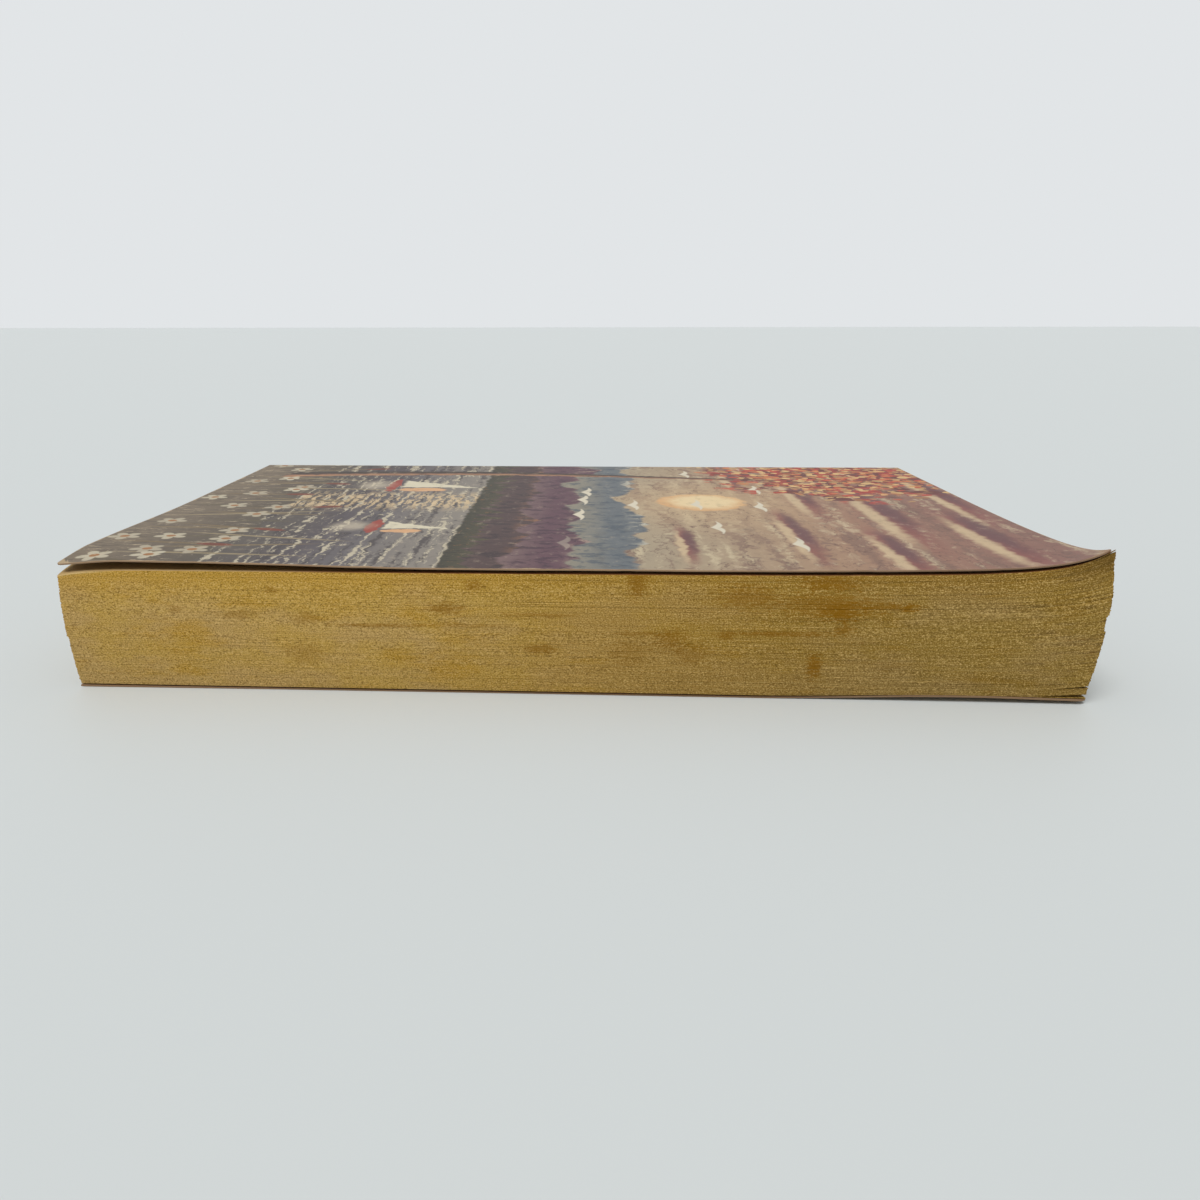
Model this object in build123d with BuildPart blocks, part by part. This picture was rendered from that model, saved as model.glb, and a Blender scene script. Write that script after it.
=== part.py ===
"""A small-format paperback book that has been read and thumbed.

It lies on its back cover, with the head towards +X, the fore edge towards -Y and the front cover up.
The leaves are one trimmed block, held by a film of glue along their spine edges. The cover is one sheet
of card, creased twice: a spine glued to the block, and a front and a back cover that turn on the creases.
"""

import os
from math import cos, exp, pi, sqrt

from build123d import *

# Leaves and binding, in millimetres
leaf_length = 168.0  # tail to head
leaf_width = 106.0  # fore edge to spine
block_thickness = 21.05  # all the leaves pressed together
card = 0.28  # the cover sheet
glue_film = 0.4  # hot glue on the spine edges of the leaves
crease_gap = 0.05  # play between the bound block and each cover at its crease
corner_wear = 1.4  # radius worn on the covers' corners at the fore edge

# Skew of a book that has been read: the front stands out past the back, and the fore edge bows
lean = 1.7
bow = 1.1

# Thumbed corner at the head of the fore edge, where the leaves and the front cover curl up together
curl_height = 2.4  # the tip itself
curl_reach = 6.0
fan_height = 1.3  # the leaves that fan out behind the tip
fan_reach = 30.0
curl_slant = 0.65  # the curl fades more slowly along the head than along the fore edge

# Corner at the tail of the fore edge, where the first leaves droop and the front cover stands off
droop_depth = 1.3
droop_reach = 4.0
lift_height = 0.95
lift_reach = 50.0
lift_slant = 1.2
fore_gap = 0.3  # between the front cover and the first leaf, along the fore edge

# Packets of leaves that have slipped along the spine: thickness and slip towards the head, from the
# back cover up. The leaves above the last packet lie true.
slipped_packets = ((9.6, 0.2), (3.9, -0.2), (3.6, 0.15))

# Last leaves, come away from the block at the head of the fore edge
flap_rise = 0.45  # their tip above the back cover
flap_reach = 16.0
flap_thickness = 0.45
slit_opening = 0.25  # between their tip and the block
slit_reach = 6.0

# Levels and edges that the pieces share
foot = card + crease_gap
block_top = foot + block_thickness
tail_x = -leaf_length / 2
head_x = leaf_length / 2


def edge_arc(y, mode=Mode.ADD):
    """The bowed and leaning line of the leaves' edges, from the foot to a top at y."""
    return ThreePointArc(
        (y + lean, foot),
        (y + lean / 2 - bow, foot + block_thickness / 2),
        (y, block_top),
        mode=mode,
    )


# The whole book is centred on Y, from the front of the bow to the crease of the back cover
bow_front = edge_arc(0, mode=Mode.PRIVATE).bounding_box().min.X
bound_width = leaf_width + glue_film + card + crease_gap
fore_y = -(bow_front + lean + bound_width) / 2
spine_y = fore_y + leaf_width
front_crease_y = fore_y + bound_width
back_crease_y = front_crease_y + lean


def curl(x, y):
    """How far a leaf rises near the thumbed corner."""
    run = head_x - x + curl_slant * (y - fore_y)
    return curl_height * exp(-run / curl_reach) + fan_height * exp(-run / fan_reach)


def first_leaf_height(x, y):
    run = x - tail_x + y - fore_y
    return block_top + curl(x, y) - droop_depth * exp(-run / droop_reach)


def front_cover_height(x, y):
    run = x - tail_x + lift_slant * (y - fore_y)
    gap = crease_gap + (fore_gap - crease_gap) * (front_crease_y - y) / bound_width
    return block_top + gap + curl(x, y) + lift_height * exp(-((run / lift_reach) ** 3))


# A sheet is fitted over the whole plan and a little past it, with stations closest at the corners
sheet_overlap = 3.0
sheet_stations = 16


def sheet(height):
    """A smooth surface at the height given for each point of the plan."""
    half_length = head_x + sheet_overlap
    width = bound_width + 2 * sheet_overlap
    rows = []
    for i in range(sheet_stations + 1):
        x = -half_length * cos(pi * i / sheet_stations)
        row = []
        for j in range(sheet_stations + 1):
            y = fore_y - sheet_overlap + width * (1 - cos(pi / 2 * j / sheet_stations))
            row.append((x, y, height(x, y)))
        rows.append(row)
    return Face.make_surface_from_array_of_points(rows)


curl_room = 2 * (curl_height + fan_height)  # stock above the block, before the first leaf is cut

# Section of the leaves across the spine, with stock above for the curl
with BuildSketch(Plane.YZ) as leaf_section:
    with BuildLine():
        fore_edge = edge_arc(fore_y)
        spine_edge = edge_arc(spine_y)
        fore_stock = Line(fore_edge @ 1, fore_edge @ 1 + curl_room * (fore_edge % 1))
        spine_stock = Line(spine_edge @ 1, spine_edge @ 1 + curl_room * (spine_edge % 1))
        Line(fore_edge @ 0, spine_edge @ 0)
        Line(fore_stock @ 1, spine_stock @ 1)
    make_face()


def packet_section(level, thickness, slip):
    """The tail end of a packet of leaves, from its lowest level and moved by its slip."""
    with BuildSketch(Plane.YZ.offset(tail_x + slip)) as section:
        add(leaf_section.sketch_local)
        with Locations((0, level)):
            Rectangle(2 * bound_width, thickness, align=(Align.CENTER, Align.MIN), mode=Mode.INTERSECT)
    return section.sketch


def slit_section(level, opening, reach):
    """A wedge, flat below, that opens diagonally towards the head of the fore edge."""
    run = reach / sqrt(2)
    diagonal = Plane(origin=(head_x, fore_y + lean, level), x_dir=(-1, 1, 0), z_dir=(1, 1, 0))
    with BuildSketch(diagonal) as section:
        with BuildLine():
            Polyline((run, 0), (-run, 2 * opening), (-run, 0), close=True)
        make_face()
    return section.sketch


# Page block: slipped packets of leaves, cut to the curl of the first leaf and slit at the last ones
with BuildPart() as page_block:
    level = foot
    for thickness, slip in slipped_packets:
        extrude(packet_section(level, thickness, slip), amount=leaf_length)
        level += thickness
    extrude(packet_section(level, block_top + 2 * curl_room - level, 0), amount=leaf_length)
    split(bisect_by=sheet(first_leaf_height), keep=Keep.BOTTOM)
    flap_level = foot + flap_rise + flap_thickness
    under_flap = slit_section(foot, flap_rise, flap_reach)
    extrude(under_flap, amount=flap_reach, both=True, mode=Mode.SUBTRACT)
    over_flap = slit_section(flap_level, slit_opening, slit_reach)
    extrude(over_flap, amount=slit_reach, both=True, mode=Mode.SUBTRACT)
page_block.part.label = "page_block"


def spine_section(inner_y, thickness):
    """The tail end of a band along the spine edges of the leaves."""
    with BuildSketch(Plane.YZ.offset(tail_x)) as section:
        with BuildLine():
            inner = edge_arc(inner_y)
            outer = edge_arc(inner_y + thickness)
            Line(inner @ 0, outer @ 0)
            Line(inner @ 1, outer @ 1)
        make_face()
    return section.sketch


# Spine glue: the film that holds the leaves by their spine edges
with BuildPart() as spine_glue:
    extrude(spine_section(spine_y, glue_film), amount=leaf_length)
spine_glue.part.label = "spine_glue"

# Cover spine: the middle of the card sheet, between the two creases
with BuildPart() as cover_spine:
    extrude(spine_section(spine_y + glue_film, card), amount=leaf_length)
cover_spine.part.label = "cover_spine"


def cover_plan(edge_y, crease_y):
    """The plan of a cover, from its fore edge to its crease, with the fore corners worn round."""
    with BuildSketch(Plane.XY) as plan:
        with Locations((0, edge_y)):
            Rectangle(leaf_length, crease_y - edge_y, align=(Align.CENTER, Align.MIN))
        fillet(plan.vertices().group_by(Axis.Y)[0], corner_wear)
    return plan.sketch


# Front cover: card that follows the curl of the leaves and stands off the block at the tail corner
with BuildPart() as front_cover:
    extrude(cover_plan(fore_y, front_crease_y), amount=block_top + curl_room)
    thicken(sheet(front_cover_height), amount=card, normal_override=(0, 0, 1), mode=Mode.INTERSECT)
front_cover.part.label = "front_cover"

# Back cover: card that lies flat under the block
with BuildPart() as back_cover:
    extrude(cover_plan(fore_y + lean, back_crease_y), amount=card)
back_cover.part.label = "back_cover"

os.makedirs("parts", exist_ok=True)
for piece in (page_block, spine_glue, cover_spine, front_cover, back_cover):
    export_step(piece.part, f"parts/{piece.part.label}.step")
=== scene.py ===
import math

import bmesh
import bpy
import numpy as np
from mathutils import Euler, Matrix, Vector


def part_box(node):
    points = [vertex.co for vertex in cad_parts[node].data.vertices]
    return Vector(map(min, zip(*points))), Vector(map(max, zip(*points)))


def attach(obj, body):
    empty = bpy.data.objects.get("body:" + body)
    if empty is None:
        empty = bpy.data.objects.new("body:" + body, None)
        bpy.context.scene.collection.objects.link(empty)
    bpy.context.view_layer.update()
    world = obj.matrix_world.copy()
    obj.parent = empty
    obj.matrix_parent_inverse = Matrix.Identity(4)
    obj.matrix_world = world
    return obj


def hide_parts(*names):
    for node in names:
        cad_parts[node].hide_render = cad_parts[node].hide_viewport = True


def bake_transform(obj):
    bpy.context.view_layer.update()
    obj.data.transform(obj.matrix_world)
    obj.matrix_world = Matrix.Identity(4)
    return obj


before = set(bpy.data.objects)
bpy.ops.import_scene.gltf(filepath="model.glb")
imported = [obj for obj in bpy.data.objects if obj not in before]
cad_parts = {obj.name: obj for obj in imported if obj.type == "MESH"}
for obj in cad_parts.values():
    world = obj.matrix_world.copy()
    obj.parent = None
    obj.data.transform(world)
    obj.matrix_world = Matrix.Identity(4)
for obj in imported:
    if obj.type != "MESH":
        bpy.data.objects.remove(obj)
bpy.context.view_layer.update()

# Leaf stack
# The pages of a small paperback: pulp paper, trimmed flush when new, browned and foxed along the fore
# edge since. The leaves hold together at the spine, so they slip, bow and fan out towards the fore edge.
mm = 0.001
front_low, front_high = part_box("front_cover")
back_low, back_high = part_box("back_cover")
spine_low, spine_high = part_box("cover_spine")
tail_x, head_x = front_low.x, front_high.x
fore_y = front_low.y
foot_z, stack_z = spine_low.z, spine_high.z
leaf_width = 106 * mm

# The leaves' edges lean back towards the foot and bow out half-way up. The fore edge was trimmed a little
# out of square, so there the lean differs from tail to head, and the bow is less than at the spine.
lean = back_low.y - front_low.y
bow = 1.1 * mm
tail_lean, head_lean = 1.7 * mm, 0.6 * mm
fore_bow = 0.8 * mm

# Thumbed corner at the head of the fore edge: its curl, the fan of leaves behind it, and its very tip
curl_height, curl_reach, curl_slant = 2.4 * mm, 6 * mm, 0.65
fan_height, fan_reach = 1.3 * mm, 30 * mm
tip_height, tip_reach = 0.85 * mm, 3.5 * mm

# Lift of the back cover off the table, near that corner: it starts and grows along X, fades away from the
# fore edge, and drops again by a share at the corner itself
lift_height, lift_depth = 0.88 * mm, 45 * mm
lift_start, lift_run = 30 * mm, 34 * mm
drop_start, drop_run, drop_share = 68 * mm, 16 * mm, 0.35

# Layers of leaves, from the foot up: one that rests on the back cover, a loose flap, the block, and one that
# clings to the front cover. At the head corner a slot, a slit and a narrow gap open between them.
cut_round = 15
loop_count = cut_round * cut_round + 1
leaf_cuts_long, leaf_cuts_wide = 90, 44
slit_loops = 4
layer_count = (loop_count - slit_loops) // 2
resting_layers, flap_layers, clinging_layers = 1, 6, 1
slot_opening, slot_reach = 0.6 * mm, 8 * mm
slit_opening, slit_reach = 0.3 * mm, 7 * mm
cling_opening, cling_reach = 0.15 * mm, 3.5 * mm


def curl(x, y):
    """How far the front leaves and the front cover rise near the thumbed corner at the head."""
    run = head_x - x + curl_slant * (y - fore_y)
    return curl_height * np.exp(-run / curl_reach) + fan_height * np.exp(-run / fan_reach)


def tip_curl(x, y):
    """The further curl of the front cover and the first leaves, at the very tip of that corner."""
    return tip_height * np.exp(-(head_x - x + y - fore_y) / tip_reach)


def edge_line(share):
    """How far back the leaves' edges lie, for a share of the stack's height."""
    return lean * (1 - share) - 4 * bow * share * (1 - share)


def fore_skew(x, share):
    """How far the fore edge departs from that line, as it was trimmed out of square."""
    along = (x - tail_x) / (head_x - tail_x)
    fore_lean = tail_lean + (head_lean - tail_lean) * along
    return (fore_lean - lean) * (1 - share) + 4 * (bow - fore_bow) * share * (1 - share)


def back_lift(x, from_fore):
    """How far the back cover and the leaves on it stand off the table, near the fore edge at the head."""
    along = np.clip((x - lift_start) / lift_run, 0, 1)
    drop = 1 - drop_share * np.clip((x - drop_start) / drop_run, 0, 1)
    return lift_height * along**2 * (3 - 2 * along) * drop * np.exp(-((from_fore / lift_depth) ** 2))


def cut_along(piece, axis, cuts):
    """Cuts every edge that runs along an axis, and so every face that it borders."""
    bpy.ops.object.mode_set(mode="EDIT")
    mesh = bmesh.from_edit_mesh(piece.data)
    for edge in mesh.edges:
        ends = edge.verts[1].co - edge.verts[0].co
        edge.select_set(abs(ends[axis]) > 0.9 * ends.length)
    bmesh.update_edit_mesh(piece.data)
    bpy.ops.mesh.subdivide(number_cuts=cuts)
    bpy.ops.object.mode_set(mode="OBJECT")


def points_of(piece):
    """The piece's vertices, one row each."""
    flat = np.empty(3 * len(piece.data.vertices))
    piece.data.vertices.foreach_get("co", flat)
    return flat.reshape(-1, 3)


def move_points(piece, points):
    """Moves the piece's vertices to new places, one row each."""
    piece.data.vertices.foreach_set("co", points.astype(np.float32).ravel())
    piece.data.update()


def spread_along(places, crowding):
    """Places from tail to head, for places from -1 to 1, crowded towards both ends by a share."""
    return head_x * ((1 - crowding) * places + crowding * np.sin(places * math.pi / 2))


def node(tree, kind, inputs=None, **settings):
    """Adds a shader node with its settings. Each input is a value or a socket to link."""
    made = tree.nodes.new("ShaderNode" + kind)
    for name, value in settings.items():
        setattr(made, name, value)
    for name, value in (inputs or {}).items():
        if isinstance(value, bpy.types.NodeSocket):
            tree.links.new(value, made.inputs[name])
        else:
            made.inputs[name].default_value = value
    return made


def mixed(tree, factor, first, second):
    """A mix of two colours, or of the colours on two sockets."""
    return node(tree, "Mix", {0: factor, 6: first, 7: second}, data_type="RGBA").outputs[2]


def ramped(tree, value, low, high, to_low=0.0, to_high=1.0):
    """A value carried smoothly from one range to another."""
    inputs = {"Value": value, "From Min": low, "From Max": high, "To Min": to_low, "To Max": to_high}
    return node(tree, "MapRange", inputs, interpolation_type="SMOOTHSTEP").outputs["Result"]


def worked(tree, operation, *values):
    """The result of a calculation on values or sockets."""
    return node(tree, "Math", dict(enumerate(values)), operation=operation).outputs[0]


def noise(tree, place, stretch, detail=3.0, rough=0.55):
    """Noise with features of about the given lengths along X, Y and Z."""
    scale = tuple(1 / length for length in stretch)
    laid = node(tree, "Mapping", {"Vector": place, "Scale": scale})
    inputs = {"Vector": laid.outputs[0], "Scale": 1.0, "Detail": detail, "Roughness": rough}
    return node(tree, "TexNoise", inputs).outputs["Fac"]


def oval_reach(tree, place, middle, halves, turn=0.0):
    """How far out a place lies from the middle of an oval, whose rim is at 1."""
    inputs = {"Vector": place, "Location": middle, "Rotation": (0, 0, math.radians(turn)), "Scale": halves}
    laid = node(tree, "Mapping", inputs, vector_type="TEXTURE").outputs[0]
    return node(tree, "VectorMath", {0: laid}, operation="LENGTH").outputs["Value"]


def new_material(name):
    """An empty node material with its shader, ready to link."""
    made = bpy.data.materials.new(name)
    made.use_nodes = True
    shader = made.node_tree.nodes["Principled BSDF"]
    return made, made.node_tree, shader


def finish_surface(tree, shader, tone, roughness, gloss):
    """Gives the shader its colour, and an even roughness and gloss."""
    tree.links.new(tone, shader.inputs["Base Color"])
    shader.inputs["Roughness"].default_value = roughness
    shader.inputs["Specular IOR Level"].default_value = gloss


def raise_texture(tree, shader, height, strength, depth):
    """Raises a fine texture on the surface."""
    bump = node(tree, "Bump", {"Height": height, "Strength": strength, "Distance": depth})
    tree.links.new(bump.outputs[0], shader.inputs["Normal"])


def sheet_colour(red, green, blue):
    """A colour written as it looks on the sheet, 0 to 255."""
    shares = [channel / 255 for channel in (red, green, blue)]
    linear = [c / 12.92 if c <= 0.04045 else ((c + 0.055) / 1.055) ** 2.4 for c in shares]
    return (*linear, 1.0)


# Where the fore edge is stained: x and z of the middle, half length and half height in mm, and strength
foxing = (
    (43.0, 15.6, 3.0, 1.7, 1.0),
    (41.0, 16.6, 9.0, 2.2, 0.7),
    (41.0, 20.1, 5.0, 1.3, 0.8),
    (28.1, 18.0, 5.5, 2.2, 0.6),
    (50.5, 16.5, 5.5, 0.7, 0.65),
    (53.5, 16.4, 1.6, 0.7, 0.8),
    (33.8, 11.8, 9.5, 0.5, 0.75),
    (25.0, 11.3, 1.3, 0.8, 0.7),
    (43.7, 12.6, 1.6, 0.9, 0.7),
    (16.2, 10.5, 2.8, 2.0, 0.6),
    (11.3, 11.5, 5.0, 0.4, 0.5),
    (9.3, 8.0, 3.5, 2.5, 0.35),
    (19.5, 8.0, 3.0, 2.0, 0.4),
    (39.5, 6.2, 1.3, 2.3, 0.95),
    (10.7, 19.9, 1.8, 2.6, 0.75),
    (-5.0, 14.5, 6.0, 0.45, 0.55),
    (-5.0, 8.5, 3.0, 0.9, 0.7),
    (-18.0, 12.5, 8.0, 0.4, 0.4),
    (-31.3, 12.3, 8.0, 0.35, 0.6),
    (-20.4, 15.4, 3.2, 1.0, 0.7),
    (-15.8, 19.3, 1.7, 1.0, 0.6),
    (-43.3, 13.4, 2.6, 1.1, 0.42),
    (-54.4, 13.9, 3.2, 0.9, 0.4),
    (-48.5, 18.3, 1.1, 0.7, 0.5),
    (-43.8, 7.1, 3.5, 2.0, 0.35),
    (-64.9, 14.8, 1.3, 0.7, 0.45),
)


def leaf_edge_paper():
    """Trimmed edges of browned pulp leaves: short lines along the leaves, grain, specks and foxing, with some
    painted shade and a painted highlight.
    """
    material, tree, shader = new_material("leaf_edge_paper")
    place = node(tree, "TexCoord").outputs["Object"]
    axes = node(tree, "SeparateXYZ", {0: place}).outputs
    level = node(tree, "Attribute", attribute_name="level").outputs["Fac"]
    leaf_z = worked(tree, "MULTIPLY", level, stack_z)
    along_leaf = node(tree, "CombineXYZ", {"X": axes["X"], "Y": axes["Y"], "Z": leaf_z}).outputs[0]

    # Browned pulp with rosy patches and golden ones. Every tone grows darker towards the head: partly the
    # pulp's browning, partly painted shade.
    along = ramped(tree, axes["X"], -45 * mm, 65 * mm)
    tone = mixed(tree, along, sheet_colour(190, 154, 75), sheet_colour(147, 118, 51))
    rosy = noise(tree, place, (20 * mm, 22 * mm, 9 * mm), 4.0, 0.6)
    rosy = ramped(tree, worked(tree, "SUBTRACT", rosy, worked(tree, "MULTIPLY", level, 0.1)), 0.36, 0.56)
    rose = mixed(tree, along, sheet_colour(188, 154, 92), sheet_colour(151, 123, 68))
    tone = mixed(tree, rosy, tone, rose)
    golden = noise(tree, along_leaf, (14 * mm, 30 * mm, 4 * mm), 4.0, 0.6)
    golden = worked(tree, "MAXIMUM", ramped(tree, golden, 0.5, 0.7), ramped(tree, level, 0.7, 1.0))
    from_stains = worked(tree, "ABSOLUTE", worked(tree, "SUBTRACT", axes["X"], 18 * mm))
    golden = worked(tree, "MAXIMUM", golden, ramped(tree, from_stains, 45 * mm, 10 * mm, 0.0, 0.6))
    gold = mixed(tree, along, sheet_colour(184, 140, 38), sheet_colour(138, 102, 10))
    tone = mixed(tree, worked(tree, "MULTIPLY", golden, 0.65), tone, gold)

    # Dark and pale lines along the leaves, and painted shade in the gaps where they fan out at the head
    lines = noise(tree, along_leaf, (9 * mm, 12 * mm, 0.17 * mm), 3.0, 0.55)
    line_strength = ramped(tree, axes["X"], -80 * mm, 80 * mm, 0.26, 0.5)
    dark_lines = worked(tree, "MULTIPLY", ramped(tree, lines, 0.5, 0.78), line_strength)
    pale_lines = worked(tree, "MULTIPLY", ramped(tree, lines, 0.46, 0.24), line_strength)
    tone = mixed(tree, dark_lines, tone, sheet_colour(106, 76, 24))
    tone = mixed(tree, pale_lines, tone, sheet_colour(210, 176, 108))
    fan_gap_shade = ramped(tree, noise(tree, along_leaf, (5 * mm, 12 * mm, 0.24 * mm), 3.0, 0.6), 0.54, 0.68)
    fan_gap_shade = worked(tree, "MULTIPLY", fan_gap_shade, ramped(tree, axes["X"], 62 * mm, 84 * mm, 0.0, 0.62))
    tone = mixed(tree, fan_gap_shade, tone, sheet_colour(70, 48, 18))

    # Grain and specks of the cut pulp
    grain = noise(tree, place, (0.26 * mm, 0.26 * mm, 0.17 * mm), 2.0, 0.7)
    tone = mixed(tree, ramped(tree, grain, 0.5, 0.66, 0.0, 0.72), tone, sheet_colour(96, 70, 24))
    tone = mixed(tree, ramped(tree, grain, 0.48, 0.32, 0.0, 0.66), tone, sheet_colour(222, 188, 122))
    specks = noise(tree, along_leaf, (2.4 * mm, 6 * mm, 0.7 * mm), 5.0, 0.65)
    tone = mixed(tree, ramped(tree, specks, 0.6, 0.74, 0.0, 0.6), tone, sheet_colour(122, 80, 16))

    # Ragged stains, on the fore edge only
    edge_only = ramped(tree, axes["Y"], fore_y + 5 * mm, fore_y + 3 * mm)
    edge_only = worked(tree, "MULTIPLY", edge_only, ramped(tree, grain, 0.34, 0.54, 0.7, 1.0))
    ragged = noise(tree, along_leaf, (1.4 * mm, 6 * mm, 0.45 * mm), 6.0, 0.75)
    ragged = worked(tree, "MULTIPLY", ragged, 4.6)
    for x, z, half_length, half_height, strength in foxing:
        halves = (half_length * mm, 1.0, half_height * mm)
        reach = oval_reach(tree, place, (x * mm, fore_y, z * mm), halves)
        reach = worked(tree, "ADD", reach, ragged)
        mask = worked(tree, "MULTIPLY", ramped(tree, reach, 3.55, 2.7, 0.0, strength), edge_only)
        tone = mixed(tree, mask, tone, sheet_colour(132, 90, 0))

    # Thumb soil and painted shade on the upturned leaves at the head corner
    at_head = ramped(tree, axes["X"], 72 * mm, 84 * mm)
    thumb_soil_and_shade = worked(tree, "MULTIPLY", ramped(tree, level, 0.8, 1.0, 0.0, 0.6), at_head)
    tone = mixed(tree, thumb_soil_and_shade, tone, sheet_colour(78, 56, 24))
    # A painted highlight on the first leaf at the tail corner
    at_tail = ramped(tree, axes["X"], -73 * mm, -81 * mm)
    first_leaf_highlight = worked(tree, "MULTIPLY", ramped(tree, level, 0.984, 0.994, 0.0, 0.65), at_tail)
    tone = mixed(tree, first_leaf_highlight, tone, sheet_colour(222, 194, 138))
    finish_surface(tree, shader, tone, 0.9, 0.2)
    height = worked(tree, "ADD", lines, worked(tree, "MULTIPLY", grain, 0.8))
    raise_texture(tree, shader, height, 0.4, 0.12 * mm)
    return material


def page_paper():
    """The face of an old page: cream in the middle, toned brown towards its edges, and darkened at the rim by
    soil and painted shade.
    """
    material, tree, shader = new_material("page_paper")
    place = node(tree, "TexCoord").outputs["Object"]
    axes = node(tree, "SeparateXYZ", {0: place}).outputs
    from_ends = worked(tree, "SUBTRACT", head_x, worked(tree, "ABSOLUTE", axes["X"]))
    from_fore = worked(tree, "SUBTRACT", axes["Y"], fore_y)
    inset = worked(tree, "MINIMUM", from_ends, from_fore)
    wander = worked(tree, "MULTIPLY", noise(tree, place, (18 * mm, 18 * mm, 18 * mm)), 14 * mm)
    toned = ramped(tree, worked(tree, "ADD", inset, wander), 24 * mm, 4 * mm, 0.0, 0.85)
    tone = mixed(tree, toned, sheet_colour(214, 196, 154), sheet_colour(168, 132, 76))
    fibres = noise(tree, place, (0.5 * mm, 0.5 * mm, 0.5 * mm), 4.0, 0.7)
    tone = mixed(tree, ramped(tree, fibres, 0.5, 0.8, 0.0, 0.25), tone, sheet_colour(150, 124, 80))
    # Soil and painted shade darken the rim, where the page lies in the gap under the front cover; it fades
    # out towards the tail, where light gets in
    past_tail = ramped(tree, axes["X"], -60 * mm, -30 * mm)
    rim_soil_and_shade = worked(tree, "MULTIPLY", ramped(tree, inset, 2.6 * mm, 0.4 * mm), past_tail)
    tone = mixed(tree, worked(tree, "MULTIPLY", rim_soil_and_shade, 0.8), tone, sheet_colour(112, 52, 16))
    finish_surface(tree, shader, tone, 0.92, 0.2)
    raise_texture(tree, shader, fibres, 0.2, 0.05 * mm)
    return material


bpy.ops.object.select_all(action="DESELECT")
bpy.ops.mesh.primitive_cube_add(size=2)
leaf_stack = bpy.context.object
leaf_stack.name = "leaf_stack"
bpy.context.tool_settings.mesh_select_mode = (False, True, False)
cut_along(leaf_stack, 2, cut_round - 1)
cut_along(leaf_stack, 2, cut_round - 1)
cut_along(leaf_stack, 0, leaf_cuts_long)
cut_along(leaf_stack, 1, leaf_cuts_wide)

# Each layer has a lower and an upper loop, with a fine groove to the next one. The loops of a slit come
# before its upper layer's, and are drawn inwards.
groove_share = 0.06
lip_share = 0.3
draw = np.random.default_rng(11)
thickness = draw.uniform(0.55, 1.6, layer_count)
layer_tops = np.cumsum(thickness) / thickness.sum()
layer_feet = np.concatenate(([0.0], layer_tops[:-1]))
slits = {
    resting_layers: (slot_reach, slot_reach),
    resting_layers + flap_layers: (slit_reach,),
    layer_count - clinging_layers: (cling_reach,),
}
loop_layer, loop_share, loop_slit = [], [], []
for layer in range(layer_count):
    groove = groove_share * (layer_tops[layer] - layer_feet[layer])
    for lip, reach in enumerate(slits.get(layer, ())):
        loop_layer.append(layer)
        loop_share.append(layer_feet[layer] + lip_share * groove * lip)
        loop_slit.append(reach)
    loop_layer += [layer, layer]
    loop_share += [layer_feet[layer] + groove, layer_tops[layer] - groove]
    loop_slit += [0.0, 0.0]
loop_layer, loop_share, loop_slit = map(np.array, (loop_layer, loop_share, loop_slit))
loop_share[0], loop_share[-1] = 0.0, 1.0

# How far the leaves' ends have slipped at tail and head: shares of the height, and lengths in mm
tail_slips = ((0, 0.22), (0.42, 0.22), (0.44, 0), (0.8, 0), (0.87, 0.12), (1, 0.12))
head_slips = (
    (0, -0.4), (0.1, -0.4), (0.2, -0.2), (0.4, 0.15), (0.51, 0.3), (0.52, 0.05), (0.61, 0.08), (0.62, 0.45),
    (0.76, 0.45), (0.9, 0), (1, -0.1),
)
layer_slip = draw.normal(0, 0.03 * mm, layer_count)
tail_slip = layer_slip + np.interp(layer_tops, *zip(*tail_slips)) * mm
head_slip = layer_slip + np.interp(layer_tops, *zip(*head_slips)) * mm
layer_recess = draw.normal(0, 0.014 * mm, layer_count)
wave_lengths = draw.uniform(9 * mm, 60 * mm, (3, layer_count))
wave_starts = draw.uniform(0, 2 * math.pi, (3, layer_count))
end_starts = draw.uniform(0, 2 * math.pi, (2, layer_count))
wave_depth, wave_reach = 0.009 * mm, 9 * mm
ripple_depth, head_ripple_run, tail_ripple_run = 0.05 * mm, 7 * mm, 9 * mm

# Every vertex's layer, its share of the height and its place on the trimmed leaf
grid = points_of(leaf_stack)
loop = np.rint((grid[:, 2] + 1) / 2 * (loop_count - 1)).astype(int)
layer, share, slit = loop_layer[loop], loop_share[loop], loop_slit[loop]
x = spread_along(grid[:, 0], 0.4)
across = (grid[:, 1] + 1) / 2
across = 0.5 * across + 0.5 * across**2
y = fore_y + leaf_width * across
from_fore = y - fore_y

# Rough trimmed edges: waves and recesses at the fore edge, slips and ripples at the ends
wave = sum(np.sin(2 * math.pi * x / wave_lengths[i, layer] + wave_starts[i, layer]) for i in range(3))
fore_roughness = (layer_recess[layer] + wave_depth * wave) * np.exp(-from_fore / wave_reach)
fore_roughness = fore_roughness * (0.75 + 0.3 * x / head_x)
head_shift = head_slip[layer] + ripple_depth * np.sin(y / head_ripple_run + end_starts[0, layer])
tail_shift = tail_slip[layer] + ripple_depth * np.sin(y / tail_ripple_run + end_starts[1, layer])
end_shift = np.where(grid[:, 0] > 0, head_shift, tail_shift) * np.abs(grid[:, 0]) ** 3

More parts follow.
